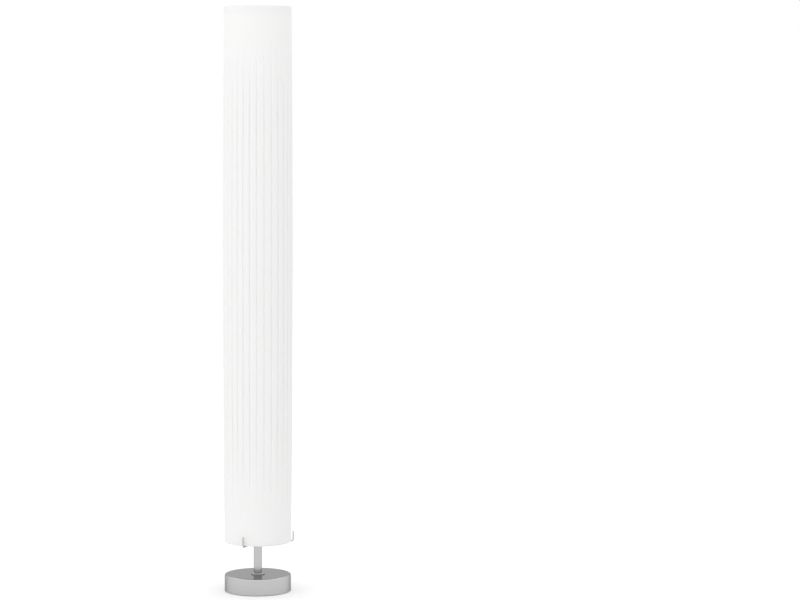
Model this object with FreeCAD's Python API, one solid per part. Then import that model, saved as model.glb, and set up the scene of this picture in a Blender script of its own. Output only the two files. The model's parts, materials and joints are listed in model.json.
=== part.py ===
import FreeCAD, Part
import math
import os

from FreeCAD import Vector

# A tall floor lamp: a tube of laminated pleated fabric stands on three wire hooks, which a hub carries on
# a slender pole. The pole screws down through a collar onto a weighted round base. Two bulbs stand inside
# the shade, one on a bracket beside the pole and one on top of it.
#
# Millimetres, +Z up. The origin is the centre of the base's underside, and the lamp's front looks along -Y.
# An azimuth is measured from the front, positive towards +X.

# ---- Overall ----
shade_bottom = 102.5        # height of the shade's lower edge above the floor
shade_length = 1097.5

# ---- Shade: laminated fabric, pleated lengthwise, with a wire ring rolled into each plain hem ----
hem_radius = 68.8
shade_wall = 0.8
belly_swell = 2.5           # how far the crests stand out beyond the hems at mid height
belly_fullness = 0.7        # below 1 the swell is fuller towards the hems
plain_hem = 50.0            # length without pleats at each end
pleat_fade = 195.0          # length over which the pleats grow to full depth
pleat_fade_shares = (0.0, 0.22, 0.55, 1.0)
belly_stations = 2          # sections between the two fading lengths
pleat_count = 30
pleat_depth = 2.6
crest_share = 0.64          # share of a pitch taken by the broad crest
crest_bulge = 0.55          # height of a crest's middle above its two edges
pleat_azimuth = -0.7        # azimuth of one valley

ring_wire_radius = 1.5
ring_slack = 0.25           # room for the ring wire inside the rolled hem
flap_length = 15.0          # turned-in fabric below the ring
flap_slack = 0.2            # space between the flap and the wall
flap_straight = 1.5         # straight run beside the ring
flap_slope = 6.5            # height of the slanted run back to the wall

# ---- Hooks and hub that carry the shade ----
hook_wire_radius = 1.25
hook_leg_gap = 3.4          # between the upright leg and the hem
hook_bend_radius = 5.0
hook_leg_height = 22.5      # from the wire's underside to the tip
hook_tip_round = 1.0
hook_azimuth = -24.2        # the hook nearest the front
hook_names = ("front", "right", "rear")
hook_seat_gap = 0.3         # between the wires and the hem that rests on them
hook_root_depth = 3.5       # length of wire held in the hub
hub_radius = 12.5
hub_height = 12.0
hub_edge_round = 1.2
hub_clearance = 0.05
set_screw_radius = 2.0
set_screw_length = 4.0
set_screw_socket = 1.0      # half the key width
set_screw_socket_depth = 2.0

# ---- Pole ----
pole_radius = 8.5
pole_wall = 1.0
lower_lamp_rise = 377.5     # from the shade's lower edge to the bracket clamped between the two pole tubes
upper_lamp_drop = 206.0     # from the shade's upper edge to the top of the pole
insert_length = 20.0
thread_radius = 5.0         # 10 mm threaded tube
thread_clearance = 0.05
through_clearance = 0.2     # plain holes that the threaded tubes pass through
thread_bore_radius = 3.7
collar_radius = 14.0
collar_height = 3.0
collar_edge_round = 1.5

# ---- Base ----
base_radius = 68.4
base_height = 34.3
cover_wall = 1.0
cover_edge_round = 2.6
cover_floor_gap = 1.0
pad_thickness = 2.5
pad_inset = 2.0             # from the cover's inside to the pad's edge
pad_edge_round = 0.4
weight_side_gap = 0.3
weight_edge_round = 2.0
recess_side_gap = 2.0       # round the washer below the weight
recess_height = 19.0
wiring_slot_side_gap = 2.6  # beside the cable bush
wiring_slot_top_gap = 0.6   # above the cable bush
washer_radius = 11.0
washer_thickness = 1.5
nut_flats = 14.0
nut_face_radius = 6.7       # of the flat face inside the turned corners
nut_corner_angle = 30.0
nut_height = 5.0
base_thread_overhang = 1.5  # threaded tube below its nut

# ---- Cable inlet and terminal block ----
inlet_edge_gap = 1.6        # from the cover's lower edge to the bush's flange
inlet_bore_radius = 3.3
inlet_hole_radius = 5.0
inlet_flange_radius = 6.4
inlet_flange_thickness = 1.2
inlet_flange_round = 0.5
terminal_width = 15.0
terminal_length = 18.0
terminal_height = 9.5
terminal_front = 21.0       # distance from the lamp's axis
terminal_chamfer = 1.0
terminal_entry_radius = 1.6
terminal_entry_depth = 5.0
terminal_entry_cover = 1.0  # below the entries
terminal_screw_radius = 1.4
terminal_screw_head_radius = 2.6
terminal_screw_head_height = 1.6
terminal_screw_bite = 5.0

# ---- Inner leads ----
lead_radius = 1.4
lead_offset = 2.0           # each lead runs this far to one side of the pole's axis
lead_bend_radius = 6.0
side_hole_gap = 8.0         # from the lower pole's top insert down to the side hole's middle
side_hole_radius = 3.0
side_bush_flange_radius = 4.2
side_bush_flange_thickness = 1.0
side_bush_clearance = 0.1
side_bend_radius = 15.0

# ---- Bracket of the lower lamp ----
lower_bulb_gap = 3.0        # between the lower bulb and the pole
bracket_thickness = 2.0
bracket_end_radius = 9.0
bracket_nut_height = 3.0
bracket_thread_overhang = 1.5
holder_thread_depth = 8.0   # length of threaded tube inside a holder's cap
joint_thread_length = 26.0

# ---- Lamp holder for a 27 mm screw cap ----
holder_radius = 19.5
holder_wall = 2.0
holder_boss_radius = 9.0
holder_boss_height = 5.0
holder_boss_edge_round = 1.0
holder_neck_round = 2.0
holder_shoulder_height = 15.0
holder_shoulder_round = 4.0
holder_insert_ledge = 2.0   # the insert's seat above the shoulder
holder_insert_height = 6.0
holder_insert_gap = 0.2
holder_insert_proud = 1.0   # the insert's top above the cap's rim
holder_foot_radius = 8.0
barrel_height = 28.0
barrel_taper = 1.0
barrel_mouth_gap = 1.6      # round the bulb's screw cap
barrel_lip = 2.5
barrel_edge_round = 1.5
barrel_mouth_round = 0.8
screw_shell_wall = 0.5
screw_shell_top_gap = 1.0   # below the barrel's lip
screw_shell_floor_hole = 6.0
tongue_thickness = 0.5
tongue_width = 5.0
tongue_back = -5.2
tongue_bend = -2.2
tongue_tip = 3.6
tongue_flat = 2.0
tongue_rise = 2.5

# ---- Bulb: opal 45 mm globe with a 27 mm screw cap ----
bulb_cap_radius = 13.0
bulb_cap_clearance = 0.07   # radial, in the holder's screw shell
bulb_cap_wall = 0.4
bulb_cap_low = 5.0
bulb_cap_cone = 2.0
bulb_cap_length = 21.0
bulb_contact_gap = 0.2      # between the bulb's tip and the holder's tongue
bulb_contact_radius = 4.8
bulb_contact_height = 1.2
bulb_contact_round = 0.5
bulb_insulator_tip_radius = 5.6
bulb_insulator_inset = 1.7  # inside the screw cap's radius
bulb_insulator_clearance = 0.1
bulb_spigot = 6.0           # length of the housing inside the cap
bulb_neck_step = 0.8        # the housing's neck outside the screw cap
bulb_radius = 22.5
bulb_wall = 1.3
bulb_housing_flare = 22.5   # height over which the housing widens
bulb_housing_band = 3.5     # straight band below the globe
bulb_shoulder_round = 8.0

# ---- Sizes that follow from the ones above ----
shade_top = shade_bottom + shade_length
hem_roll_radius = shade_wall + ring_slack + ring_wire_radius
ring_radius = hem_radius - hem_roll_radius
hook_wire_z = shade_bottom - hook_seat_gap - hook_wire_radius
hook_leg_radius = hem_radius + hook_leg_gap + hook_wire_radius
pole_bore_radius = pole_radius - pole_wall
pole_foot = base_height + collar_height
pole_top = shade_top - upper_lamp_drop
bracket_height = shade_bottom + lower_lamp_rise
upper_pole_foot = bracket_height + bracket_thickness
tapped_radius = thread_radius + thread_clearance
through_radius = thread_radius + through_clearance
cover_inner_radius = base_radius - cover_wall
weight_radius = cover_inner_radius - weight_side_gap
weight_top = base_height - cover_wall
pad_radius = cover_inner_radius - pad_inset
recess_radius = washer_radius + recess_side_gap
recess_roof = pad_thickness + recess_height
inlet_height = cover_floor_gap + inlet_edge_gap + inlet_flange_radius
slot_roof = inlet_height + inlet_flange_radius + wiring_slot_top_gap
slot_width = 2 * (inlet_flange_radius + wiring_slot_side_gap)
terminal_low = slot_roof - terminal_height
terminal_screw_y = terminal_front + terminal_length / 2
lead_height = terminal_low + terminal_entry_cover + terminal_entry_radius
side_hole_height = bracket_height - insert_length - side_hole_gap
lamp_offset = pole_radius + lower_bulb_gap + bulb_radius
base_nut_top = recess_roof - washer_thickness
base_thread_low = base_nut_top - nut_height - base_thread_overhang
screw_shell_radius = bulb_cap_radius + bulb_cap_clearance
holder_insert_low = holder_shoulder_height + holder_insert_ledge
holder_insert_high = holder_insert_low + holder_insert_height
holder_cap_height = holder_insert_high - holder_insert_proud
holder_top = holder_cap_height + barrel_height
barrel_mouth_radius = bulb_cap_radius + barrel_mouth_gap
bulb_tip = holder_insert_high + tongue_rise + tongue_thickness + bulb_contact_gap
bulb_cap_top = bulb_cap_low + bulb_cap_length
bulb_neck_radius = bulb_cap_radius + bulb_neck_step
bulb_shoulder = bulb_cap_top + bulb_housing_flare
bulb_equator = bulb_shoulder + bulb_housing_band

nodes = {}


# ---- Building blocks ----

def cylinder(radius, low, high, x=0.0, y=0.0):
    return Part.makeCylinder(radius, high - low, Vector(x, y, low))


def tube(outer, inner, low, high, x=0.0, y=0.0):
    return cylinder(outer, low, high, x, y).cut(cylinder(inner, low, high, x, y))


def at_azimuth(radius, azimuth, z):
    angle = math.radians(azimuth)
    return Vector(radius * math.sin(angle), -radius * math.cos(angle), z)


def rounded_outline(corners):
    """A closed outline in the XZ plane. Each corner is (x, z) or (x, z, radius)."""
    points = [Vector(corner[0], 0, corner[1]) for corner in corners]
    starts = []
    ends = []
    middles = []
    for i, corner in enumerate(corners):
        radius = corner[2] if len(corner) > 2 else 0.0
        here = points[i]
        back = (points[i - 1] - here).normalize()
        onward = (points[(i + 1) % len(points)] - here).normalize()
        half = back.getAngle(onward) / 2
        reach = radius / math.tan(half)
        inward = (back + onward).normalize() if radius else Vector(0, 0, 0)
        starts.append(here + back * reach)
        ends.append(here + onward * reach)
        middles.append(here + inward * (radius / math.sin(half) - radius))
    edges = []
    for i, corner in enumerate(corners):
        if len(corner) > 2:
            edges.append(Part.Arc(starts[i], middles[i], ends[i]).toShape())
        following = starts[(i + 1) % len(corners)]
        if ends[i].distanceToPoint(following) > 1e-6:
            edges.append(Part.LineSegment(ends[i], following).toShape())
    return Part.Wire(edges)


def turned(corners):
    """A solid of revolution about the Z axis from its half section."""
    return Part.Face(rounded_outline(corners)).revolve(Vector(0, 0, 0), Vector(0, 0, 1), 360)


def hex_prism(flats, low, high):
    corner_radius = flats / math.sqrt(3)
    corners = [at_azimuth(corner_radius, 60 * k, low) for k in range(7)]
    return Part.Face(Part.makePolygon(corners)).extrude(Vector(0, 0, high - low))


def swept(edges, radius):
    """A round wire or lead along a path of straight runs and tangent arcs."""
    path = Part.Wire(edges)
    start = edges[0].valueAt(edges[0].FirstParameter)
    heading = edges[0].tangentAt(edges[0].FirstParameter)
    section = Part.Wire(Part.makeCircle(radius, start, heading))
    return path.makePipeShell([section], True, False)


def quarter_arc(start, corner, end):
    """The arc from start to end that is tangent to the two runs meeting at corner."""
    centre = start + end - corner
    middle = centre + (corner - centre).normalize() * (start - centre).Length
    return Part.Arc(start, middle, end).toShape()


def straight(start, end):
    return Part.LineSegment(start, end).toShape()


# ---- Shade ----

def pleat_share(z):
    """How deep the pleats are at a height, as a share of their full depth."""
    from_hem = min(z - shade_bottom, shade_top - z) - plain_hem
    return math.sin(math.pi / 2 * min(1.0, max(0.0, from_hem / pleat_fade)))


def crest_radius(z):
    """Radius of the crests, which swell gently between the two hems."""
    height = (z - shade_bottom - plain_hem) / (shade_length - 2 * plain_hem)
    if height <= 0 or height >= 1:
        return hem_radius
    return hem_radius + belly_swell * math.sin(math.pi * height) ** belly_fullness


def pleat_section(z, inset):
    """One horizontal section: broad crests and narrow V valleys, or a circle where no pleat is left."""
    share = pleat_share(z)
    crest = crest_radius(z) - inset
    edge = crest - crest_bulge * share
    valley = crest - pleat_depth * share
    pitch = 360.0 / pleat_count
    half_crest = pitch * crest_share / 2
    half_valley = pitch / 2 - half_crest
    edges = []
    for k in range(pleat_count):
        middle = pleat_azimuth + pitch * (k + 0.5)
        first = at_azimuth(edge, middle - half_crest, z)
        last = at_azimuth(edge, middle + half_crest, z)
        bottom = at_azimuth(valley, middle + pitch / 2, z)
        following = at_azimuth(edge, middle + pitch - half_crest, z)
        edges.append(Part.Arc(first, at_azimuth(crest, middle, z), last).toShape())
        if share:
            edges.append(straight(last, bottom))
            edges.append(straight(bottom, following))
        else:
            down = at_azimuth(crest, middle + half_crest + half_valley / 2, z)
            up = at_azimuth(crest, middle + pitch - half_crest - half_valley / 2, z)
            edges.append(Part.Arc(last, down, bottom).toShape())
            edges.append(Part.Arc(bottom, up, following).toShape())
    return Part.Wire(edges)


def shade_stations():
    """Heights of the sections, closer together where the pleats grow."""
    low = shade_bottom + plain_hem
    high = shade_top - plain_hem
    rising = [low + share * pleat_fade for share in pleat_fade_shares]
    falling = [high - share * pleat_fade for share in reversed(pleat_fade_shares)]
    step = (falling[0] - rising[-1]) / (belly_stations + 1)
    middle = [rising[-1] + step * (k + 1) for k in range(belly_stations)]
    return rising + middle + falling


def pleated_wall():
    skins = []
    for inset in (0.0, shade_wall):
        sections = [pleat_section(z, inset) for z in shade_stations()]
        skins.append(Part.makeLoft(sections, True, True))
    return skins[0].cut(skins[1])


def hem(edge_z, up):
    """A plain hem rolled over its ring wire and turned in. up is 1 at the shade's top, -1 at its bottom."""
    centre_z = edge_z - up * hem_roll_radius
    joint_z = edge_z - up * plain_hem
    inner_roll = hem_roll_radius - shade_wall
    flap_inner = hem_radius - 2 * shade_wall - flap_slack

    def at(radius, below):
        return Vector(radius, 0, centre_z - up * below)

    low_turn = flap_straight + flap_slope
    outline = [
        Part.Arc(
            at(hem_radius, 0),
            at(ring_radius, -hem_roll_radius),
            at(ring_radius - hem_roll_radius, 0),
        ).toShape()
    ]
    flap = [
        at(ring_radius - hem_roll_radius, 0),
        at(ring_radius - hem_roll_radius, flap_straight),
        at(flap_inner, low_turn),
        at(flap_inner, flap_length),
        at(flap_inner + shade_wall, flap_length),
        at(flap_inner + shade_wall, low_turn),
        at(ring_radius - inner_roll, flap_straight),
        at(ring_radius - inner_roll, 0),
    ]
    outline += [straight(a, b) for a, b in zip(flap, flap[1:])]
    outline.append(
        Part.Arc(flap[-1], at(ring_radius, -inner_roll), at(ring_radius + inner_roll, 0)).toShape()
    )
    wall = [
        at(ring_radius + inner_roll, 0),
        Vector(hem_radius - shade_wall, 0, joint_z),
        Vector(hem_radius, 0, joint_z),
        at(hem_radius, 0),
    ]
    outline += [straight(a, b) for a, b in zip(wall, wall[1:])]
    return Part.Face(Part.Wire(outline)).revolve(Vector(0, 0, 0), Vector(0, 0, 1), 360)


def make_shade():
    wall = pleated_wall()
    nodes["shade_pleats"] = wall.fuse([hem(shade_top, 1), hem(shade_bottom, -1)])
    top_ring_z = shade_top - hem_roll_radius
    bottom_ring_z = shade_bottom + hem_roll_radius
    nodes["top_ring"] = Part.makeTorus(ring_radius, ring_wire_radius, Vector(0, 0, top_ring_z))
    nodes["bottom_ring"] = Part.makeTorus(ring_radius, ring_wire_radius, Vector(0, 0, bottom_ring_z))


# ---- Hooks and hub ----

def turned_to(shape, azimuth):
    """Turn a shape made along +X to an azimuth."""
    shape.rotate(Vector(0, 0, 0), Vector(0, 0, 1), azimuth - 90)
    return shape


def make_hook():
    """One wire along +X: out of the hub, under the hem and up outside it."""
    root = Vector(hub_radius - hook_root_depth, 0, hook_wire_z)
    corner = Vector(hook_leg_radius, 0, hook_wire_z)
    bend_start = corner - Vector(hook_bend_radius, 0, 0)
    bend_end = corner + Vector(0, 0, hook_bend_radius)
    tip = corner + Vector(0, 0, hook_leg_height - hook_wire_radius)
    wire = swept(
        [straight(root, bend_start), quarter_arc(bend_start, corner, bend_end), straight(bend_end, tip)],
        hook_wire_radius,
    )
    tip_edges = [edge for edge in wire.Edges if edge.BoundBox.ZMin > tip.z - 0.01]
    return wire.makeFillet(hook_tip_round, tip_edges)


def make_hub():
    low = hook_wire_z - hub_height / 2
    high = hook_wire_z + hub_height / 2
    bore = pole_radius + hub_clearance
    hub = turned([
        (bore, low),
        (hub_radius, low, hub_edge_round),
        (hub_radius, high, hub_edge_round),
        (bore, high),
    ])
    hook_hole_start = Vector(hub_radius - hook_root_depth, 0, hook_wire_z)
    for k, name in enumerate(hook_names):
        azimuth = hook_azimuth + k * 360.0 / len(hook_names)
        hole = Part.makeCylinder(hook_wire_radius, hub_radius, hook_hole_start, Vector(1, 0, 0))
        hub = hub.cut(turned_to(hole, azimuth))
        nodes["shade_hook_" + name] = turned_to(make_hook(), azimuth)
    screw_azimuth = hook_azimuth + 180.0 / len(hook_names)
    screw_start = Vector(pole_radius, 0, hook_wire_z)
    screw_hole_start = Vector(pole_radius - pole_wall, 0, hook_wire_z)
    hole = Part.makeCylinder(
        set_screw_radius + thread_clearance, hub_radius, screw_hole_start, Vector(1, 0, 0)
    )
    nodes["shade_hub"] = hub.cut(turned_to(hole, screw_azimuth))
    screw = Part.makeCylinder(set_screw_radius, set_screw_length, screw_start, Vector(1, 0, 0))
    socket = hex_prism(2 * set_screw_socket, 0, set_screw_socket_depth)
    socket.rotate(Vector(0, 0, 0), Vector(0, 1, 0), 90)
    socket.translate(screw_start + Vector(set_screw_length - set_screw_socket_depth, 0, 0))
    nodes["hub_set_screw"] = turned_to(screw.cut(socket), screw_azimuth)


# ---- Base ----

def cover_hole(radius, start_radius, end_radius):
    """A cylinder along +Y through the rear wall of the cover, at the cable inlet."""
    return Part.makeCylinder(
        radius, end_radius - start_radius, Vector(0, start_radius, inlet_height), Vector(0, 1, 0)
    )


def make_cover():
    inner_round = cover_edge_round - cover_wall
    cover = turned([
        (through_radius, weight_top),
        (cover_inner_radius, weight_top, inner_round),
        (cover_inner_radius, cover_floor_gap),
        (base_radius, cover_floor_gap),
        (base_radius, base_height, cover_edge_round),
        (through_radius, base_height),
    ])
    return cover.cut(cover_hole(inlet_hole_radius, 0.5 * base_radius, 1.1 * base_radius))


def make_grommet():
    """A flanged bush whose groove is cut by the curved wall that it sits in."""
    inner_face = cover_inner_radius - inlet_flange_thickness
    outer_face = base_radius + inlet_flange_thickness
    bush = cover_hole(inlet_flange_radius, inner_face, outer_face)
    outer_rim = [edge for edge in bush.Edges if edge.BoundBox.YMin > outer_face - 0.01]
    bush = bush.makeFillet(inlet_flange_round, outer_rim)
    wall = tube(base_radius, cover_inner_radius, cover_floor_gap, base_height - cover_edge_round)
    groove = wall.cut(cover_hole(inlet_hole_radius, 0.5 * base_radius, 1.1 * base_radius))
    return bush.cut(groove).cut(cover_hole(inlet_bore_radius, inner_face, outer_face))


def make_weight():
    """A cast disc with a through bore, a recess for the nut and a slot for the wiring."""
    weight = turned([
        (through_radius, pad_thickness),
        (weight_radius, pad_thickness, weight_edge_round),
        (weight_radius, weight_top, weight_edge_round),
        (through_radius, weight_top),
    ])
    recess = cylinder(recess_radius, pad_thickness, recess_roof)
    slot = Part.makeBox(
        slot_width, base_radius, slot_roof - pad_thickness, Vector(-slot_width / 2, 0, pad_thickness)
    )
    screw_hole = cylinder(
        terminal_screw_radius, slot_roof, slot_roof + terminal_screw_bite, 0, terminal_screw_y
    )
    return weight.cut(recess).cut(slot).cut(screw_hole)


def make_terminal():
    """A two-way terminal block under the slot's roof, and the screw that holds it there."""
    block = Part.makeBox(
        terminal_width, terminal_length, terminal_height,
        Vector(-terminal_width / 2, terminal_front, terminal_low),
    )
    upright = [edge for edge in block.Edges if edge.BoundBox.ZLength > terminal_height / 2]
    block = block.makeChamfer(terminal_chamfer, upright)
    for side in (-1, 1):
        entry = Part.makeCylinder(
            terminal_entry_radius, terminal_entry_depth,
            Vector(side * lead_offset, terminal_front, lead_height), Vector(0, 1, 0),
        )
        block = block.cut(entry)
    y = terminal_screw_y
    head_top = terminal_low + terminal_screw_head_height
    head = cylinder(terminal_screw_head_radius, terminal_low, head_top, 0, y)
    shank = cylinder(terminal_screw_radius, head_top, slot_roof + terminal_screw_bite, 0, y)
    nodes["terminal_block"] = block.cut(head).cut(shank)
    nodes["terminal_screw"] = shank.fuse(head)


def threaded_tube(low, high, x=0.0):
    return tube(thread_radius, thread_bore_radius, low, high, x)


def nut(top, height, x=0.0):
    """A hexagon nut with its corners turned off at both ends."""
    low = top - height
    reach = 1.1 * nut_flats / math.sqrt(3)
    fall = (reach - nut_face_radius) * math.tan(math.radians(nut_corner_angle))
    corners_off = turned([
        (0, low),
        (nut_face_radius, low),
        (reach, low + fall),
        (reach, top - fall),
        (nut_face_radius, top),
        (0, top),
    ])
    shape = hex_prism(nut_flats, low, top).common(corners_off).cut(cylinder(tapped_radius, low, top))
    shape.translate(Vector(x, 0, 0))
    return shape


def make_base():
    nodes["base_cover"] = make_cover()
    nodes["base_weight"] = make_weight()
    nodes["floor_pad"] = turned([
        (0, 0), (pad_radius, 0, pad_edge_round), (pad_radius, pad_thickness), (0, pad_thickness),
    ])
    nodes["cable_grommet"] = make_grommet()
    make_terminal()
    nodes["base_washer"] = tube(washer_radius, through_radius, base_nut_top, recess_roof)
    nodes["base_nut"] = nut(base_nut_top, nut_height)
    nodes["base_threaded_tube"] = threaded_tube(base_thread_low, pole_foot + insert_length)
    nodes["stem_collar"] = turned([
        (through_radius, base_height),
        (collar_radius, base_height),
        (collar_radius, pole_foot, collar_edge_round),
        (through_radius, pole_foot),
    ])


# ---- Pole ----

def insert(low, high):
    """A tapped plug pressed into a pole tube's end."""
    return tube(pole_bore_radius, tapped_radius, low, high)


def make_pole():
    lower = tube(pole_radius, pole_bore_radius, pole_foot, bracket_height)
    side_hole = Part.makeCylinder(
        side_hole_radius, 2 * pole_radius, Vector(0, 0, side_hole_height), Vector(1, 0, 0)
    )
    nodes["lower_pole"] = lower.cut(side_hole)
    nodes["lower_pole_foot_insert"] = insert(pole_foot, pole_foot + insert_length)
    nodes["lower_pole_top_insert"] = insert(bracket_height - insert_length, bracket_height)
    nodes["upper_pole"] = tube(pole_radius, pole_bore_radius, upper_pole_foot, pole_top)
    nodes["upper_pole_foot_insert"] = insert(upper_pole_foot, upper_pole_foot + insert_length)
    nodes["upper_pole_top_insert"] = insert(pole_top - insert_length, pole_top)
    joint_middle = (bracket_height + upper_pole_foot) / 2
    nodes["pole_joint_threaded_tube"] = threaded_tube(
        joint_middle - joint_thread_length / 2, joint_middle + joint_thread_length / 2
    )


def make_side_bush():
    """A bush in the pole's side hole, with its groove cut by the pole's curved wall."""
    reach = pole_radius + side_bush_flange_thickness
    start = pole_bore_radius - side_bush_flange_thickness / 2
    centre = Vector(start, 0, side_hole_height)
    bush = Part.makeCylinder(side_bush_flange_radius, reach - start, centre, Vector(1, 0, 0))
    low = side_hole_height - 2 * side_bush_flange_radius
    high = side_hole_height + 2 * side_bush_flange_radius
    plug = Part.makeCylinder(side_hole_radius, reach, Vector(0, 0, side_hole_height), Vector(1, 0, 0))
    bush = bush.cut(cylinder(pole_radius, low, high).cut(plug))
    bore = Part.makeCylinder(
        lead_radius + side_bush_clearance, 2 * reach, Vector(0, 0, side_hole_height), Vector(1, 0, 0)
    )
    return bush.cut(bore)


# ---- Lamp holders and bulbs ----

def make_holder(prefix, x, z):
    """A lamp holder standing on its threaded tube, its underside at z."""
    inner = holder_radius - holder_wall
    cap = turned([
        (tapped_radius, 0),
        (holder_boss_radius, 0, holder_boss_edge_round),
        (holder_boss_radius, holder_boss_height, holder_neck_round),
        (holder_radius, holder_shoulder_height, holder_shoulder_round),
        (holder_radius, holder_cap_height),
        (inner, holder_cap_height),
        (inner, holder_insert_low),
        (holder_foot_radius + holder_insert_gap, holder_thread_depth),
        (tapped_radius, holder_thread_depth),
    ])
    insert_body = turned([
        (0, holder_thread_depth),
        (holder_foot_radius, holder_thread_depth),
        (holder_foot_radius, holder_insert_low),
        (inner - holder_insert_gap, holder_insert_low),
        (inner - holder_insert_gap, holder_insert_high),
        (0, holder_insert_high),
    ])
    mouth = holder_top - barrel_lip
    screw_shell_top = mouth - screw_shell_top_gap
    barrel = turned([
        (inner, holder_cap_height),
        (holder_radius, holder_cap_height),
        (holder_radius - barrel_taper, holder_top, barrel_edge_round),
        (barrel_mouth_radius, holder_top, barrel_mouth_round),
        (barrel_mouth_radius, mouth),
        (inner - barrel_taper, mouth),
    ])
    shell_floor = holder_insert_high + screw_shell_wall
    shell = turned([
        (screw_shell_floor_hole, holder_insert_high),
        (screw_shell_radius + screw_shell_wall, holder_insert_high),
        (screw_shell_radius + screw_shell_wall, screw_shell_top),
        (screw_shell_radius, screw_shell_top),
        (screw_shell_radius, shell_floor),
        (screw_shell_floor_hole, shell_floor),
    ])
    rise = holder_insert_high + tongue_rise
    flat_back = tongue_tip - tongue_flat
    tongue_face = Part.Face(rounded_outline([
        (tongue_back, holder_insert_high),
        (tongue_bend, holder_insert_high),
        (flat_back, rise),
        (tongue_tip, rise),
        (tongue_tip, rise + tongue_thickness),
        (flat_back, rise + tongue_thickness),
        (tongue_bend, holder_insert_high + tongue_thickness),
        (tongue_back, holder_insert_high + tongue_thickness),
    ]))
    tongue = tongue_face.extrude(Vector(0, tongue_width, 0))
    tongue.translate(Vector(0, -tongue_width / 2, 0))
    pieces = {
        "holder_cap": cap,
        "holder_insert": insert_body,
        "holder_barrel": barrel,
        "screw_shell": shell,
        "contact_tongue": tongue,
    }
    for name, shape in pieces.items():
        shape.translate(Vector(x, 0, z))
        nodes[prefix + "_" + name] = shape


def make_bulb(prefix, x, z):
    """A bulb screwed home in the holder whose underside is at z."""
    contact = turned([
        (0, 0), (bulb_contact_radius, 0, bulb_contact_round), (bulb_contact_radius, bulb_contact_height),
        (0, bulb_contact_height),
    ])
    insulator_radius = bulb_cap_radius - bulb_insulator_inset
    insulator = turned([
        (0, bulb_contact_height),
        (bulb_insulator_tip_radius, bulb_contact_height),
        (insulator_radius, bulb_cap_low),
        (insulator_radius, bulb_cap_low + bulb_cap_cone / 2),
        (0, bulb_cap_low + bulb_cap_cone / 2),
    ])
    cap_inner = bulb_cap_radius - bulb_cap_wall
    cap_mouth = insulator_radius + bulb_insulator_clearance
    cap = turned([
        (cap_mouth, bulb_cap_low),
        (bulb_cap_radius, bulb_cap_low + bulb_cap_cone),
        (bulb_cap_radius, bulb_cap_top),
        (cap_inner, bulb_cap_top),
        (cap_inner, bulb_cap_low + bulb_cap_cone + bulb_cap_wall),
        (cap_mouth, bulb_cap_low + bulb_cap_wall),
    ])
    inner = bulb_radius - bulb_wall
    spigot_inner = cap_inner - bulb_wall
    housing = turned([
        (spigot_inner, bulb_cap_top - bulb_spigot),
        (cap_inner, bulb_cap_top - bulb_spigot),
        (cap_inner, bulb_cap_top),
        (bulb_neck_radius, bulb_cap_top),
        (bulb_radius, bulb_shoulder, bulb_shoulder_round),
        (bulb_radius, bulb_equator),
        (inner, bulb_equator),
        (inner, bulb_shoulder),
        (spigot_inner, bulb_cap_top + bulb_wall),
    ])
    globe = Part.makeSphere(bulb_radius).cut(Part.makeSphere(inner))
    lower_half = Part.makeBox(
        4 * bulb_radius, 4 * bulb_radius, 2 * bulb_radius,
        Vector(-2 * bulb_radius, -2 * bulb_radius, -2 * bulb_radius),
    )
    globe = globe.cut(lower_half)
    globe.translate(Vector(0, 0, bulb_equator))
    pieces = {
        "bulb_contact": contact,
        "bulb_insulator": insulator,
        "bulb_screw_cap": cap,
        "bulb_housing": housing,
        "bulb_globe": globe,
    }
    for name, shape in pieces.items():
        shape.translate(Vector(x, 0, z + bulb_tip))
        nodes[prefix + "_" + name] = shape


def make_lamps():
    bracket = cylinder(bracket_end_radius, bracket_height, upper_pole_foot)
    bracket = bracket.fuse(cylinder(bracket_end_radius, bracket_height, upper_pole_foot, lamp_offset))
    bracket = bracket.fuse(Part.makeBox(
        lamp_offset, 2 * bracket_end_radius, bracket_thickness,
        Vector(0, -bracket_end_radius, bracket_height),
    ))
    for x in (0.0, lamp_offset):
        bracket = bracket.cut(cylinder(through_radius, bracket_height, upper_pole_foot, x))
    nodes["lamp_bracket"] = bracket.removeSplitter()
    nodes["lower_holder_nut"] = nut(bracket_height, bracket_nut_height, lamp_offset)
    nodes["lower_holder_threaded_tube"] = threaded_tube(
        bracket_height - bracket_nut_height - bracket_thread_overhang,
        upper_pole_foot + holder_thread_depth,
        lamp_offset,
    )
    nodes["upper_holder_threaded_tube"] = threaded_tube(
        pole_top - insert_length / 2, pole_top + holder_thread_depth
    )
    for prefix, x, z in (("lower", lamp_offset, upper_pole_foot), ("upper", 0.0, pole_top)):
        make_holder(prefix, x, z)
        make_bulb(prefix, x, z)


# ---- Inner leads ----

def lead_start(x):
    """The first runs of a lead: out of the terminal block and up into the base's threaded tube."""
    entry = Vector(x, terminal_front + terminal_entry_depth, lead_height)
    bend_start = Vector(x, lead_bend_radius, lead_height)
    corner = Vector(x, 0, lead_height)
    bend_end = Vector(x, 0, lead_height + lead_bend_radius)
    return [straight(entry, bend_start), quarter_arc(bend_start, corner, bend_end)], bend_end


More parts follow.
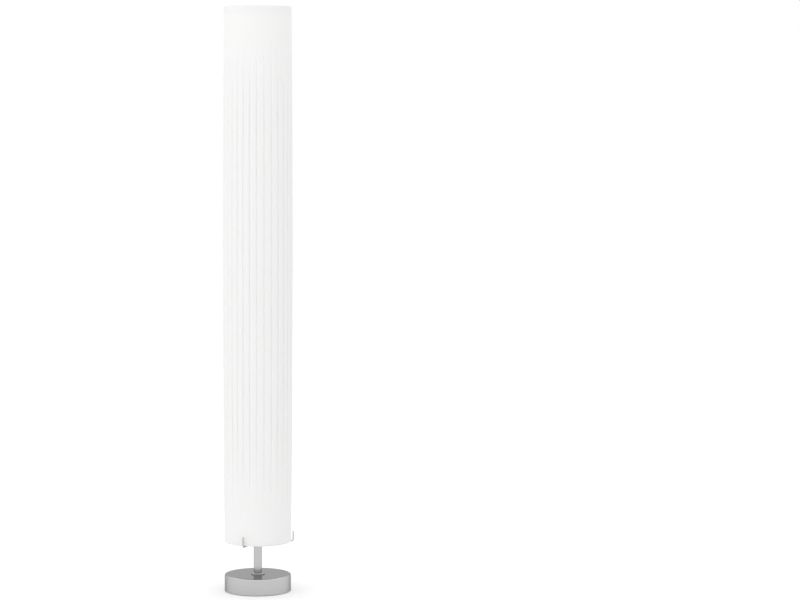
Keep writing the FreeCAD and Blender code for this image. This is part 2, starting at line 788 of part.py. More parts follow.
def make_leads():
    edges, rise = lead_start(-lead_offset)
    end = Vector(-lead_offset, 0, pole_top + holder_thread_depth)
    nodes["upper_lead"] = swept(edges + [straight(rise, end)], lead_radius)

    edges, rise = lead_start(lead_offset)
    first_corner = Vector(lead_offset, 0, side_hole_height)
    out_start = first_corner - Vector(0, 0, lead_bend_radius)
    out_end = first_corner + Vector(lead_bend_radius, 0, 0)
    second_corner = Vector(lamp_offset, 0, side_hole_height)
    up_start = second_corner - Vector(side_bend_radius, 0, 0)
    up_end = second_corner + Vector(0, 0, side_bend_radius)
    end = Vector(lamp_offset, 0, upper_pole_foot + holder_thread_depth)
    edges += [
        straight(rise, out_start),
        quarter_arc(out_start, first_corner, out_end),
        straight(out_end, up_start),
        quarter_arc(up_start, second_corner, up_end),
        straight(up_end, end),
    ]
    nodes["lower_lead"] = swept(edges, lead_radius)
    nodes["side_hole_bush"] = make_side_bush()


make_base()
make_pole()
make_hub()
make_lamps()
make_leads()
make_shade()

os.makedirs("parts", exist_ok=True)
for name, shape in nodes.items():
    shape.exportStep("parts/" + name + ".step")
    print(name, len(shape.Solids), "solid", round(shape.Volume), "mm3", "valid", shape.isValid())
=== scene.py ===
import json
import math

import bpy
import numpy as np
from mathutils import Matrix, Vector


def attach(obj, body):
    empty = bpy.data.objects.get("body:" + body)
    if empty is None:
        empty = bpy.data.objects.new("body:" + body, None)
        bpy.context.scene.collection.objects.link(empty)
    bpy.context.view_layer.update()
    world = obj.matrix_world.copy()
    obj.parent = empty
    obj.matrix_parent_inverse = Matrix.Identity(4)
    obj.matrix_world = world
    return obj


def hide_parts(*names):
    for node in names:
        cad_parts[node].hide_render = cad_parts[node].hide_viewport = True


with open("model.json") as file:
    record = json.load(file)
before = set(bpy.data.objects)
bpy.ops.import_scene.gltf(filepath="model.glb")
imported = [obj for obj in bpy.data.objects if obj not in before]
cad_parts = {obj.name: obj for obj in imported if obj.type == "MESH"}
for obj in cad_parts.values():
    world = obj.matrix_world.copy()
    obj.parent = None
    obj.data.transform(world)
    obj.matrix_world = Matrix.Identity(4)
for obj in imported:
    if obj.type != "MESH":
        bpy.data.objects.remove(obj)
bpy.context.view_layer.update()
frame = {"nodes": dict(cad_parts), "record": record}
nodes = frame["nodes"]
rng = np.random.default_rng(11)

# ---- The shade's sizes, in metres ----
SHADE_LOW = 0.1025
SHADE_HIGH = 1.2
HEM_RADIUS = 0.0688
BELLY_SWELL = 0.0025        # how far mid height stands out beyond the hems
BELLY_FULLNESS = 0.7
PLAIN_HEM = 0.05            # height without pleats at each end
PLEAT_FADE = 0.195          # height over which the pleats grow to their full depth
PLEAT_COUNT = 30
PLEAT_DEPTH = 0.0028        # a little more than in the CAD model, for a crisp crease
CREST_SHARE = 0.68          # of a pleat's width
CREST_BULGE = 0.00055       # how far a crest's edges lie below its middle
CREASE_ROUNDING = 0.1
PLEAT_AZIMUTH = -0.7        # degrees from the front, where the first pleat begins
CLOTH = 0.0006              # thickness of the laminated fabric
SEAM_PLEAT = 15             # at the back, where the sheet's edges overlap and are glued
SEAM_STEP = 0.8 * CLOTH

# ---- The hem, rolled over its ring wire with the flap turned in ----
ROLL_RADIUS = 0.00255
ROLL_CENTRE = HEM_RADIUS - ROLL_RADIUS
ROLL_STEPS = 13
FLAP_RADIUS = 0.067
FLAP_LENGTH = 0.015
FLAP_BEND_DROP = 0.0012     # from the ring's centre down to where the roll begins
FLAP_PROFILE = (            # how far inside FLAP_RADIUS, and how far below the ring's centre
    (0.0, FLAP_LENGTH), (0.0, 0.010), (0.0, 0.0085), (0.0012, 0.006), (0.0026, 0.003),
)

# ---- The cloth's mesh: columns across a pleat, as shares of its width, and rows ----
CREST_PLACES = (-0.34, -0.29, -0.19, -0.06, 0.06, 0.19, 0.29, 0.34)
VALLEY_PLACES = (0.385, 0.43, 0.465, 0.489, 0.511, 0.535, 0.57, 0.615)
PLAIN_ROWS = 9
FADE_ROWS = 22
STRAIGHT_ROWS = 22

# ---- The cloth's unevenness ----
UNEVEN_DEPTH = 0.05         # spread of the pleats' depths
DRIFT_MEAN = -0.15          # degrees that a pleat stands to one side of its place at the hem
DRIFT_SWING = 0.95
DRIFT_WAVES = 4
DRIFT_AZIMUTH = -8
BEND = 0.0001               # slow bends of the wall
BEND_WAVES = (5, 2)         # round the shade
BEND_RISES = (7.0, 9.0)     # radians for a metre of height
BEND_AT_HEM = 0.35
PUCKER_HEIGHT = 0.02        # how far from the hem's edge its small puckers reach
FINE_PUCKER, FINE_PUCKERS = 0.00016, 57         # size, and number round the hem
COARSE_PUCKER, COARSE_PUCKERS = 0.0001, 23
PUCKER_SHIFT, PUCKER_SHIFTS = 1.2, 7
PUCKER_START = 2.0
PUCKER_LOSS = 0.6           # where the wall is pleated

# ---- The lamps' sizes, in metres ----
LAMPS = {"lower": (0.034, 0.482), "upper": (0.0, 0.994)}    # a holder's x and underside z
BULB_TIP = 0.0262           # from a holder's underside to its bulb's tip
THREAD_PITCH = 0.00363
CAP = {
    "outline": [
        (0.0116, 0.005), (0.01285, 0.0068), (0.01298, 0.0072), (0.01298, 0.0195),
        (0.01298, 0.0215), (0.01275, 0.0220), (0.01275, 0.0226), (0.01298, 0.0231),
        (0.01298, 0.026),
    ],
    "thread": (0.005, 0.0196), "pitch": THREAD_PITCH, "depth": 0.0009, "wall": 0.0002,
}
SHELL = {
    "outline": [(0.0131, 0.023), (0.01355, 0.0234), (0.01355, 0.0238), (0.01355, 0.0465)],
    "thread": (0.0248, 0.0455), "pitch": THREAD_PITCH, "depth": 0.00085, "wall": 0.00045,
    "zero": BULB_TIP, "floor_hole": 0.006,
}
HOLDER_TUBE = {
    "outline": [(0.0048, 0.0), (0.005, 0.0004), (0.005, 0.0141), (0.0048, 0.0145)],
    "thread": (0.0002, 0.0143), "pitch": 0.001, "depth": 0.00045, "wall": 0.0008,
    "columns": 48,
}
HOLDER_TUBE_LOW = 0.4755

# ---- Camera, fitted to the photograph ----
CAMERA_PLACE = (0.0, -5.3082, 1.028)
CAMERA_TURN = (85.4116, -0.2462, -3.1246)       # degrees
LENS = 116.82               # mm
SENSOR_WIDTH = 36.0

# ---- Light ----
ROOM_LEFT, ROOM_RIGHT = 1.19, 1.06              # strength of the room's light from each side
WALL_LOW, WALL_HIGH = 1.0, 1.14                 # strength that metal mirrors at the horizon
WALL_FROM, WALL_TO = 0.02, 0.25                 # and the heights of look where it changes
CEILING, CEILING_FROM, CEILING_TO = 0.3, 0.4, 0.75
FLOOR_SIZE = 9.0            # to each side
FLOOR_LOW = -0.0002
FLOOR_GREY = 0.8
FLOOR_LIFT_SEEN, FLOOR_LIFT_MIRRORED = 0.18, 0.2
KEY_PLACE = (-2.6, -2.9, 1.0)
KEY_TARGET = (0.0, 0.0, 0.6)
KEY_SIZE = (1.6, 2.2)
KEY_WATTS = 9.5


def make_camera():
    data = bpy.data.cameras.new("camera")
    data.lens = LENS
    data.sensor_width = SENSOR_WIDTH
    camera = bpy.data.objects.new("camera", data)
    camera.location = CAMERA_PLACE
    camera.rotation_euler = [math.radians(a) for a in CAMERA_TURN]
    bpy.context.scene.collection.objects.link(camera)
    bpy.context.scene.camera = camera
    bpy.context.scene.view_settings.view_transform = "Standard"


make_camera()


# ---- Shader building blocks ----

def put(tree, kind, inputs=None, **settings):
    """A shader node with its settings, and its inputs as values or links."""
    node = tree.nodes.new(kind)
    for key, value in settings.items():
        setattr(node, key, value)
    for key, value in (inputs or {}).items():
        if isinstance(value, bpy.types.NodeSocket):
            tree.links.new(value, node.inputs[key])
        else:
            node.inputs[key].default_value = value
    return node


def maths(tree, operation, *values):
    """A Math node's result; each value is a number or a socket."""
    return put(tree, "ShaderNodeMath", dict(enumerate(values)), operation=operation).outputs[0]


def number_ramp(tree, factor, low, high, start=0.0, end=1.0):
    """Factor from start to end becomes low to high."""
    inputs = {
        "Value": factor, "From Min": start, "From Max": end, "To Min": low, "To Max": high,
    }
    return put(tree, "ShaderNodeMapRange", inputs, data_type="FLOAT").outputs["Result"]


def colour_ramp(tree, factor, low, high, start, end):
    """Factor from start to end becomes one colour to the other."""
    node = put(tree, "ShaderNodeValToRGB", {"Fac": factor})
    for element, place, colour in zip(node.color_ramp.elements, (start, end), (low, high)):
        element.position = place
        element.color = (*colour, 1.0)
    return node.outputs["Color"]


def noise(tree, vector, scale, detail, roughness):
    inputs = {"Vector": vector, "Scale": scale, "Detail": detail, "Roughness": roughness}
    return put(tree, "ShaderNodeTexNoise", inputs).outputs["Fac"]


def object_coordinates(tree):
    return put(tree, "ShaderNodeTexCoord").outputs["Object"]


def scaled(tree, vector, scale):
    return put(tree, "ShaderNodeMapping", {"Vector": vector, "Scale": scale}).outputs["Vector"]


def bump(tree, height, strength, distance):
    inputs = {"Height": height, "Strength": strength, "Distance": distance}
    return put(tree, "ShaderNodeBump", inputs).outputs["Normal"]


def finish_of(name, **inputs):
    """A material whose Principled shader has these inputs, with its tree and its shader."""
    material = bpy.data.materials.new(name)
    material.use_nodes = True
    tree = material.node_tree
    shader = tree.nodes["Principled BSDF"]
    for key, value in inputs.items():
        shader.inputs[key.replace("_", " ")].default_value = value
    return material, tree, shader


def link(tree, shader, key, socket):
    tree.links.new(socket, shader.inputs[key])


def around_axis(tree):
    """Coordinates (distance from the lamp's axis, height, 0), for marks that run round it."""
    parts = put(tree, "ShaderNodeSeparateXYZ", {"Vector": object_coordinates(tree)})
    x, y, z = (parts.outputs[key] for key in "XYZ")
    squares = maths(tree, "ADD", maths(tree, "MULTIPLY", x, x), maths(tree, "MULTIPLY", y, y))
    inputs = {"X": maths(tree, "SQRT", squares), "Y": z}
    return put(tree, "ShaderNodeCombineXYZ", inputs).outputs["Vector"]


# ---- Materials ----

NOISE_LOW, NOISE_HIGH = 0.3, 0.7                # where a noise's values mostly lie


def varied(tree, shader, key, factor, value, spread):
    """A number that varies by a share to each side of its value."""
    low, high = value * (1 - spread), value * (1 + spread)
    link(tree, shader, key, number_ramp(tree, factor, low, high, NOISE_LOW, NOISE_HIGH))


def tinted(tree, shader, factor, colour, spread):
    """A base colour that varies by a share to each side."""
    darker = [max(0.0, c * (1 - spread)) for c in colour]
    lighter = [min(1.0, c * (1 + spread)) for c in colour]
    colours = colour_ramp(tree, factor, darker, lighter, NOISE_LOW, NOISE_HIGH)
    link(tree, shader, "Base Color", colours)


def metal(name, colour, roughness, marks, mark_scale, mark_depth, tint, grazing=0.6):
    """Worked metal. marks is "round" on turned pieces and "along" on drawn tubes and wire.
    grazing is its tint at a flat angle."""
    stretch = 60                # length of a drawn mark to its width
    line_share = 0.55           # of the marks in the colour; the rest is slow clouds
    material, tree, shader = finish_of(name, Metallic=1.0)
    shader.inputs["Specular Tint"].default_value = (grazing, grazing, grazing, 1.0)
    base = object_coordinates(tree)
    if marks == "round":
        lines = noise(tree, around_axis(tree), mark_scale, 3.0, 0.6)
    else:
        drawn = scaled(tree, base, (mark_scale, mark_scale, mark_scale / stretch))
        lines = noise(tree, drawn, 1.0, 3.0, 0.6)
    cloud = noise(tree, base, 38.0, 3.0, 0.55)
    line_part = maths(tree, "MULTIPLY", lines, line_share)
    cloud_part = maths(tree, "MULTIPLY", cloud, 1 - line_share)
    mixed = maths(tree, "ADD", line_part, cloud_part)
    tinted(tree, shader, mixed, colour, tint)
    varied(tree, shader, "Roughness", mixed, roughness, 0.14)
    link(tree, shader, "Normal", bump(tree, lines, 0.35, mark_depth))
    return material


def moulded(name, colour, roughness, grain, depth, shade=0.03, **inputs):
    """Moulded plastic, rubber or glaze: a fine grain, with slight clouds in its colour."""
    material, tree, shader = finish_of(name, **inputs)
    base = object_coordinates(tree)
    fine = noise(tree, base, grain, 2.0, 0.6)
    cloud = noise(tree, base, 45.0, 3.0, 0.5)
    tinted(tree, shader, cloud, colour, shade)
    varied(tree, shader, "Roughness", fine, roughness, 0.1)
    link(tree, shader, "Normal", bump(tree, fine, 0.4, depth))
    return material


def fabric():
    """Plain weave laminated to a film: warp and weft threads with slubs, and some light that
    passes through."""
    thread_spacing = 0.0009
    across, along = 900.0, 16.0                 # slubs for a metre
    weave_height = 0.00008
    cloud_share, slub_share, weave_share = 0.2, 0.4, 0.5
    translucent_share = 0.16
    dark, light = (0.951, 0.951, 0.948), (0.961, 0.961, 0.958)
    passed = (0.95, 0.945, 0.935, 1.0)

    material, tree, shader = finish_of("pleated_fabric", Roughness=0.82)
    shader.inputs["Specular IOR Level"].default_value = 0.3
    shader.inputs["Sheen Weight"].default_value = 0.12
    shader.inputs["Sheen Roughness"].default_value = 0.5
    cloth = put(tree, "ShaderNodeUVMap", uv_map="cloth").outputs["UV"]
    parts = put(tree, "ShaderNodeSeparateXYZ", {"Vector": cloth})
    per_metre = 2 * math.pi / thread_spacing
    warp_slubs = noise(tree, scaled(tree, cloth, (across, along, 1.0)), 1.0, 2.0, 0.6)
    weft_slubs = noise(tree, scaled(tree, cloth, (along, across, 1.0)), 1.0, 2.0, 0.6)
    warp = maths(tree, "SINE", maths(tree, "MULTIPLY", parts.outputs["X"], per_metre))
    weft = maths(tree, "SINE", maths(tree, "MULTIPLY", parts.outputs["Y"], per_metre))
    weave = maths(tree, "MULTIPLY", warp, weft)
    slubs = maths(tree, "ADD", warp_slubs, weft_slubs)
    height = maths(tree, "MULTIPLY_ADD", weave, weave_share, slubs)
    link(tree, shader, "Normal", bump(tree, height, 0.12, weave_height))
    cloud = maths(tree, "MULTIPLY", noise(tree, cloth, 9.0, 3.0, 0.5), cloud_share)
    tone = maths(tree, "MULTIPLY_ADD", slubs, slub_share, cloud)
    colours = colour_ramp(tree, tone, dark, light, NOISE_LOW, NOISE_HIGH)
    link(tree, shader, "Base Color", colours)
    through = put(tree, "ShaderNodeBsdfTranslucent", {"Color": passed})
    inputs = {0: translucent_share, 1: shader.outputs["BSDF"], 2: through.outputs["BSDF"]}
    mix = put(tree, "ShaderNodeMixShader", inputs)
    link(tree, tree.nodes["Material Output"], "Surface", mix.outputs["Shader"])
    return material


def cast():
    """Rough cast iron."""
    dark, light = (0.045, 0.045, 0.047), (0.12, 0.115, 0.11)
    material, tree, shader = finish_of("cast_weight", Metallic=0.6)
    grit = noise(tree, object_coordinates(tree), 420.0, 4.0, 0.7)
    colours = colour_ramp(tree, grit, dark, light, NOISE_LOW, NOISE_HIGH)
    link(tree, shader, "Base Color", colours)
    link(tree, shader, "Roughness", number_ramp(tree, grit, 0.5, 0.8))
    link(tree, shader, "Normal", bump(tree, grit, 0.7, 0.0003))
    return material


NICKEL = (0.505, 0.505, 0.503)
NICKEL_GRAZING = 0.48
METALS = {      # colour, roughness, marks, mark scale, mark depth, tint and grazing tint
    "satin_nickel": (NICKEL, 0.17, "round", 5200.0, 0.0000015, 0.012, NICKEL_GRAZING),
    "drawn_nickel": (NICKEL, 0.2, "along", 2600.0, 0.0000015, 0.012, NICKEL_GRAZING),
    "wire": (NICKEL, 0.2, "along", 2600.0, 0.000002, 0.02, NICKEL_GRAZING),
    "zinc_steel": ((0.6, 0.61, 0.62), 0.33, "along", 1400.0, 0.00001, 0.08),
    "brass": ((0.72, 0.56, 0.28), 0.3, "round", 3000.0, 0.00001, 0.05),
    "bulb_cap": ((0.72, 0.72, 0.71), 0.3, "along", 1500.0, 0.000008, 0.05),
    "bulb_contact": ((0.62, 0.57, 0.44), 0.38, "round", 2500.0, 0.00002, 0.1),
    "shell_metal": ((0.70, 0.64, 0.48), 0.28, "round", 2500.0, 0.00001, 0.06),
}
PLASTICS = {    # colour, roughness, grain scale, grain depth and shade
    "ring_wire": ((0.9, 0.9, 0.9), 0.3, 700.0, 0.00002),
    "foam_pad": ((0.045, 0.045, 0.045), 0.9, 1200.0, 0.0002, 0.25),
    "black_rubber": ((0.03, 0.03, 0.03), 0.6, 1500.0, 0.00003, 0.15),
    "lead_sheath": ((0.75, 0.75, 0.73), 0.42, 1300.0, 0.00003, 0.05),
    "holder_plastic": ((0.78, 0.78, 0.765), 0.3, 1100.0, 0.00001, 0.015),
    "holder_ceramic": ((0.86, 0.84, 0.79), 0.7, 700.0, 0.00004, 0.03),
    "opal_globe": ((0.86, 0.86, 0.85), 0.4, 1500.0, 0.000008, 0.01),
    "bulb_housing": ((0.83, 0.83, 0.82), 0.33, 1200.0, 0.00001, 0.015),
    "black_glass": ((0.02, 0.02, 0.025), 0.12, 300.0, 0.00002, 0.2),
}
MATERIALS = {name: metal(name, *values) for name, values in METALS.items()}
MATERIALS.update({name: moulded(name, *values) for name, values in PLASTICS.items()})
MATERIALS["nylon"] = moulded(
    "nylon", (0.82, 0.8, 0.74), 0.5, 900.0, 0.00002, Subsurface_Weight=0.05
)
MATERIALS["cast_weight"] = cast()
MATERIALS["pleated_fabric"] = fabric()

DRAWN_PIECES = ("lower_pole", "upper_pole")     # tubes, with marks along them

for row in frame["record"]["subparts"]:
    finish = "drawn_nickel" if row["node"] in DRAWN_PIECES else row["material_slot"]
    slots = nodes[row["node"]].data.materials
    slots.clear()
    slots.append(MATERIALS[finish])


# ---- Meshes ----

def ring_mesh(name, points, uvs=None):
    """A smooth mesh from rows of rings. points is (rows, columns, 3); each ring closes on
    itself, and the last row joins the first. uvs is (rows + 1, columns + 1, 2)."""
    rows, columns, _ = points.shape
    i, j = np.meshgrid(np.arange(rows), np.arange(columns), indexing="ij")
    below, right = (i + 1) % rows, (j + 1) % columns
    corners = [i * columns + j, i * columns + right,
               below * columns + right, below * columns + j]
    faces = np.stack(corners, -1).reshape(-1, 4).tolist()
    mesh = bpy.data.meshes.new(name)
    mesh.from_pydata(points.reshape(-1, 3).tolist(), [], faces)
    mesh.polygons.foreach_set("use_smooth", [True] * len(faces))
    if uvs is not None:
        layer = mesh.uv_layers.new(name="cloth")
        u = np.stack([uvs[i, j], uvs[i, j + 1], uvs[i + 1, j + 1], uvs[i + 1, j]], 2)
        layer.data.foreach_set("uv", u.reshape(-1, 2).ravel().astype(np.float32))
    mesh.validate()
    mesh.update()
    piece = bpy.data.objects.new(name, mesh)
    bpy.context.scene.collection.objects.link(piece)
    return piece


def dress(piece, body, slot, replaced):
    """Gives a piece its material and its body, in place of the CAD node it replaces."""
    piece.data.materials.append(MATERIALS[slot])
    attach(piece, body)
    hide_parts(replaced)


# ---- Shade ----

def crest_radius(z):
    """The crests' radius at a height."""
    pleated = SHADE_HIGH - SHADE_LOW - 2 * PLAIN_HEM
    share = np.clip((z - SHADE_LOW - PLAIN_HEM) / pleated, 0, 1)
    return HEM_RADIUS + BELLY_SWELL * np.sin(math.pi * share) ** BELLY_FULLNESS


def pleat_share(z):
    """Share of the pleats' full depth at a height."""
    from_hem = np.minimum(z - SHADE_LOW, SHADE_HIGH - z) - PLAIN_HEM
    return np.sin(math.pi / 2 * np.clip(from_hem / PLEAT_FADE, 0, 1))


def pleat_profile(place):
    """Depth below the crest's middle at a place across one pleat, from -0.5 to 0.5."""
    half = CREST_SHARE / 2
    across = np.abs(place)
    on_crest = CREST_BULGE * np.clip(across / half, 0, 1) ** 2
    fall = np.clip((across - half) / (0.5 - half), 0, 1)
    rounded = fall - CREASE_ROUNDING * np.sin(2 * math.pi * fall) / 2
    return on_crest + (PLEAT_DEPTH - CREST_BULGE) * rounded


def pleat_columns():
    """For each column of the mesh: its azimuth at the hem in degrees, how many degrees it
    drifts from there, its depth in the pleat and its step outwards where the seam overlaps."""
    places = np.array(CREST_PLACES + VALLEY_PLACES)
    pleat = np.repeat(np.arange(PLEAT_COUNT), len(places))
    place = np.tile(places, PLEAT_COUNT)
    pitch = 360.0 / PLEAT_COUNT
    azimuth = PLEAT_AZIMUTH + pitch * (pleat + 0.5 + place)
    drift_angle = np.radians(DRIFT_WAVES * (azimuth - DRIFT_AZIMUTH))
    drift = DRIFT_MEAN - DRIFT_SWING * np.cos(drift_angle)
    order = np.argsort(azimuth)
    azimuth = azimuth[order]
    across = (place[order] + 0.5) % 1.0 - 0.5
    which = np.floor((azimuth - PLEAT_AZIMUTH) / pitch).astype(int) % PLEAT_COUNT
    uneven = 1 + UNEVEN_DEPTH * rng.standard_normal(PLEAT_COUNT)
    deeper = 1 + (uneven[which] - 1) * np.cos(math.pi * across) ** 2
    depth = pleat_profile(across) * deeper
    step = np.where(which == SEAM_PLEAT, SEAM_STEP, 0.0)
    return azimuth, drift[order], depth, step


def cloth_outline():
    """(radius, height) down the cloth's outer face, from flap to flap, before the belly and
    the pleats."""
    ring_z = SHADE_HIGH - ROLL_RADIUS
    flap = [(FLAP_RADIUS - inside, ring_z - drop) for inside, drop in FLAP_PROFILE]
    flap.append((ROLL_CENTRE - ROLL_RADIUS, ring_z - FLAP_BEND_DROP))
    roll = [
        (ROLL_CENTRE - ROLL_RADIUS * math.cos(a), ring_z + ROLL_RADIUS * math.sin(a))
        for a in np.radians(np.linspace(0, 180, ROLL_STEPS))
    ]
    plain = np.linspace(ring_z, SHADE_HIGH - PLAIN_HEM, PLAIN_ROWS)[1:]
    fading = SHADE_HIGH - PLAIN_HEM - PLEAT_FADE * np.linspace(0, 1, FADE_ROWS)[1:]
    middle = (SHADE_LOW + SHADE_HIGH) / 2
    straight = np.linspace(fading[-1], middle, STRAIGHT_ROWS)[1:]
    wall = [(HEM_RADIUS, z) for z in np.concatenate([plain, fading, straight])]
    upper = np.array(flap + roll + wall)
    lower = upper[::-1][1:] * [1, -1] + [0, SHADE_LOW + SHADE_HIGH]
    return np.concatenate([upper, lower])


def two_skins(outline):
    """The outline and its inner face as one loop, with each point's place along the cloth."""
    along = np.gradient(outline, axis=0)
    along /= np.linalg.norm(along, axis=1)[:, None]
    inward = np.stack([along[:, 1], -along[:, 0]], 1)
    loop = np.concatenate([outline, (outline + inward * CLOTH)[::-1]])
    steps = np.linalg.norm(np.diff(outline, axis=0), axis=1)
    run = np.concatenate([[0], np.cumsum(steps)])
    return loop, np.concatenate([run, run[::-1]])


def bends(z, turn, share):
    """Slow bends of the wall, as an addition to its radius."""
    first = np.sin(BEND_WAVES[0] * turn + BEND_RISES[0] * z)
    second = np.sin(BEND_RISES[1] * z + BEND_WAVES[1] * turn)
    return BEND * first * second * np.clip(share + BEND_AT_HEM, 0, 1)


def puckers(z, turn, share):
    """Small puckers where the cloth goes round its ring, as an addition to its radius."""
    edge_gap = np.minimum(SHADE_HIGH - z, z - SHADE_LOW)
    near_edge = np.clip(1 - edge_gap / PUCKER_HEIGHT, 0, 1)
    shift = PUCKER_SHIFT * np.sin(PUCKER_SHIFTS * turn)
    fine = FINE_PUCKER * np.sin(FINE_PUCKERS * turn + shift)
    coarse = COARSE_PUCKER * np.sin(COARSE_PUCKERS * turn + PUCKER_START)
    return (fine + coarse) * near_edge * (1 - PUCKER_LOSS * share)


def make_shade():
    azimuth, drift, depth, step = pleat_columns()
    loop, runs = two_skins(cloth_outline())
    z = loop[:, 1][:, None] + 0 * azimuth[None]
    share = pleat_share(z)
    swell = crest_radius(z) - HEM_RADIUS
    radius = loop[:, 0][:, None] + swell - depth[None] * share + step[None]
    turn = np.radians(azimuth)[None]
    radius = radius + bends(z, turn, share)
    radius = radius + puckers(z, turn, share)
    angle = np.radians(azimuth[None] + drift[None] * np.sqrt(share))
    points = np.stack([radius * np.sin(angle), -radius * np.cos(angle), z], -1)

    around = np.radians(np.append(azimuth, azimuth[0] + 360)) * HEM_RADIUS
    down = np.append(runs, runs[0])
    uvs = np.stack(np.meshgrid(down, around, indexing="ij")[::-1], -1)
    shade = ring_mesh("shade_fabric", points, uvs)
    dress(shade, "shade", "pleated_fabric", "shade_pleats")


make_shade()


# ---- Screw threads of the lamps ----

ROWS_PER_TURN = 12
FEWEST_ROWS = 8
CLOSE_ROWS = 0.0001         # a thread's row this near to a row of the outline is left out


def threaded_shell(name, x, z, outline, thread, pitch, depth, wall,
                   columns=96, zero=0.0, floor_hole=None):
    """A thin turned shell with a rolled thread, on the vertical axis at x and based at z.
    outline lists (radius, height) of its outer face from below, thread is the thread's lowest
    and highest height, and depth is how far the thread's root lies inside. zero is a height
    where the thread stands out at +X. floor_hole is the radius of the hole in its floor."""
    low, high = thread
    radii, heights = zip(*outline)
    steps = max(FEWEST_ROWS, int((high - low) / pitch * ROWS_PER_TURN))
    extra = [h for h in np.linspace(low, high, steps)
             if min(abs(h - k) for k in heights) > CLOSE_ROWS]
    rows = np.array(sorted(set(heights) | set(extra)))
    radius = np.interp(rows, heights, radii)
    angle = np.linspace(0, 2 * math.pi, columns, endpoint=False)
    phase = 2 * math.pi * (rows[:, None] - zero) / pitch - angle[None]
    fade_in = np.clip((rows - low) / (0.5 * pitch), 0, 1)
    fade_out = np.clip((high - rows) / (0.5 * pitch), 0, 1)
    fade = (fade_in * fade_out)[:, None]
    outer = radius[:, None] - depth * fade * (0.5 - 0.5 * np.cos(phase))
    rings = [outer, outer[::-1] - wall]
    levels = [rows, rows[::-1].copy()]
    if floor_hole is not None:
        levels[1][-1] += wall
        rings.append(np.full((2, columns), floor_hole))
        levels.append(np.array([rows[0] + wall, rows[0]]))
    ring = np.concatenate(rings)
    height = np.concatenate(levels)[:, None] + 0 * angle[None]
    around = [x + ring * np.cos(angle)[None], ring * np.sin(angle)[None], height + z]
    return ring_mesh(name, np.stack(around, -1))


def make_threads():
    """Each bulb's rolled cap, the holder's shell whose thread it turns in, and the threaded
    tube that holds the lower holder to its bracket."""
    for lamp, (x, low) in LAMPS.items():
        cap = threaded_shell(lamp + "_rolled_cap", x, low + BULB_TIP, **CAP)
        dress(cap, lamp + "_bulb", "bulb_cap", lamp + "_bulb_screw_cap")
        shell = threaded_shell(lamp + "_rolled_shell", x, low, **SHELL)
        dress(shell, "stand", "shell_metal", lamp + "_screw_shell")
    lower_x = LAMPS["lower"][0]
    tube = threaded_shell("lower_holder_thread", lower_x, HOLDER_TUBE_LOW, **HOLDER_TUBE)
    dress(tube, "stand", "zinc_steel", "lower_holder_threaded_tube")


make_threads()


# ---- Stage and light ----

def seen_ray(tree, path):
    """1 for a ray that shows the backdrop itself, direct or through the cloth, else 0."""
    camera, through = path.outputs["Is Camera Ray"], path.outputs["Is Transmission Ray"]
    return maths(tree, "MAXIMUM", camera, through)


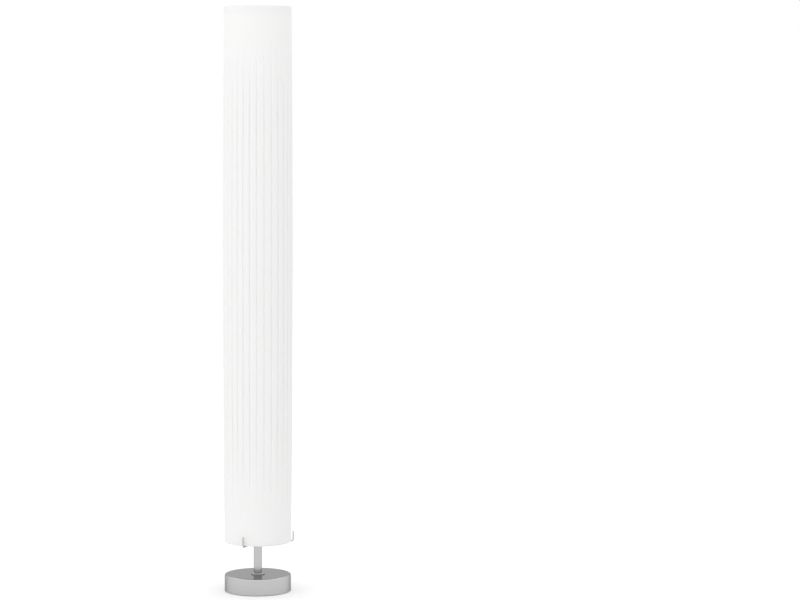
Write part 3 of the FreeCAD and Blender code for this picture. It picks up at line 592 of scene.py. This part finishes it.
def make_world():
    """White where it is seen, a room brighter at the left for light, and a wall and ceiling
    for metal to mirror."""
    world = bpy.data.worlds.new("studio")
    world.use_nodes = True
    bpy.context.scene.world = world
    tree = world.node_tree
    direction = put(tree, "ShaderNodeTexCoord").outputs["Generated"]
    parts = put(tree, "ShaderNodeSeparateXYZ", {"Vector": direction})
    x, z = parts.outputs["X"], parts.outputs["Z"]
    room = number_ramp(tree, x, ROOM_LEFT, ROOM_RIGHT, -1.0, 1.0)
    wall = number_ramp(tree, z, WALL_LOW, WALL_HIGH, WALL_FROM, WALL_TO)
    ceiling = number_ramp(tree, z, 0.0, CEILING, CEILING_FROM, CEILING_TO)
    mirrored = maths(tree, "ADD", wall, ceiling)
    path = put(tree, "ShaderNodeLightPath")
    inputs = {"Factor": path.outputs["Is Glossy Ray"], "A": room, "B": mirrored}
    unseen = put(tree, "ShaderNodeMix", inputs).outputs["Result"]
    inputs = {"Factor": seen_ray(tree, path), "A": unseen, "B": 1.0}
    strength = put(tree, "ShaderNodeMix", inputs).outputs["Result"]
    background = tree.nodes["Background"]
    background.inputs["Color"].default_value = (1.0, 1.0, 1.0, 1.0)
    link(tree, background, "Strength", strength)


def make_floor():
    """A pale floor that keeps the lamp's shadow, lifted towards white where it is seen."""
    mesh = bpy.data.meshes.new("floor")
    s = FLOOR_SIZE
    mesh.from_pydata([(-s, -s, 0), (s, -s, 0), (s, s, 0), (-s, s, 0)], [], [(0, 1, 2, 3)])
    floor = bpy.data.objects.new("floor", mesh)
    floor.location.z = FLOOR_LOW
    bpy.context.scene.collection.objects.link(floor)
    material, tree, paint = finish_of("floor", Roughness=0.9)
    paint.inputs["Base Color"].default_value = (FLOOR_GREY, FLOOR_GREY, FLOOR_GREY, 1.0)
    paint.inputs["Specular IOR Level"].default_value = 0.1
    path = put(tree, "ShaderNodeLightPath")
    lift = maths(tree, "MULTIPLY", seen_ray(tree, path), FLOOR_LIFT_SEEN)
    glossy = path.outputs["Is Glossy Ray"]
    lift = maths(tree, "MULTIPLY_ADD", glossy, FLOOR_LIFT_MIRRORED, lift)
    glow = put(tree, "ShaderNodeEmission", {"Color": (1.0, 1.0, 1.0, 1.0), "Strength": lift})
    inputs = {0: paint.outputs["BSDF"], 1: glow.outputs["Emission"]}
    both = put(tree, "ShaderNodeAddShader", inputs)
    link(tree, tree.nodes["Material Output"], "Surface", both.outputs["Shader"])
    mesh.materials.append(material)


def make_key():
    """A broad soft lamp to the front left."""
    data = bpy.data.lights.new("key", "AREA")
    data.shape = "RECTANGLE"
    data.size, data.size_y = KEY_SIZE
    data.energy = KEY_WATTS
    key = bpy.data.objects.new("key", data)
    key.location = KEY_PLACE
    towards = Vector(KEY_TARGET) - key.location
    key.rotation_euler = towards.to_track_quat("-Z", "Y").to_euler()
    key.visible_glossy = False
    bpy.context.scene.collection.objects.link(key)


make_world()
make_floor()
make_key()
